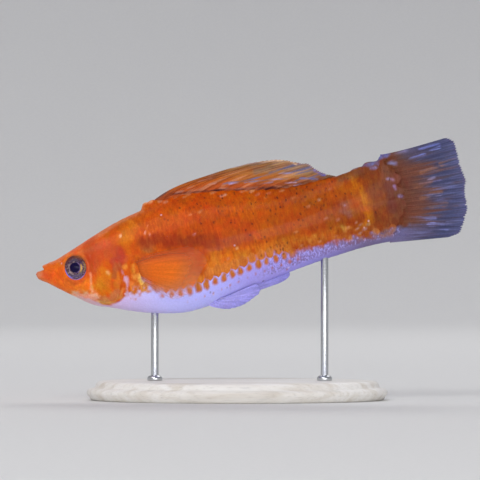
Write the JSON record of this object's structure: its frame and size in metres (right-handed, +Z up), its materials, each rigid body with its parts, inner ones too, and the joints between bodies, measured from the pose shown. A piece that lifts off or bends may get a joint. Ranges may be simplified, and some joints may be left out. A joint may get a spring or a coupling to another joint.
{
  "type": "sailfin molly",
  "caption": "Life-size model of a male sailfin molly, orange and white, with its sail folded down, nose down on a plain oval display stand.",
  "frame": {"origin": "on the floor under the middle of the model's bounding box", "axes": "+X runs from the fish's snout to its tail, +Y to its right side, and +Z up"},
  "size_m": [0.089, 0.033, 0.0541],
  "materials": {
    "orange_skin": "wet scaled skin, orange above and lilac white below",
    "gill_cover": "smooth yellow-orange skin over bone, with a pearly sheen",
    "eye": "clear cornea over a mottled grey-brown iris",
    "amber_fin": "thin amber membrane between bony rays",
    "tail_fin": "thin slate-blue membrane with brown rays",
    "pale_fin": "thin pale lilac membrane with white rays",
    "stand_base": "limed ash, nearly white",
    "stand_rod": "polished steel rod"
  },
  "bodies": {
    "root": {"head": "orange_skin", "lower_jaw": "orange_skin", "trunk": "orange_skin", "tail_stalk": "orange_skin", "gill_cover_left": "gill_cover", "gill_cover_right": "gill_cover", "eye_left": "eye", "eye_right": "eye", "dorsal_fin": "amber_fin", "pectoral_fin_left": "amber_fin", "pectoral_fin_right": "amber_fin", "caudal_fin": "tail_fin", "anal_fin": "pale_fin", "pelvic_fin_left": "pale_fin", "pelvic_fin_right": "pale_fin", "stand_base": "stand_base", "stand_rod_front": "stand_rod", "stand_rod_rear": "stand_rod"}
  },
  "joints": []
}
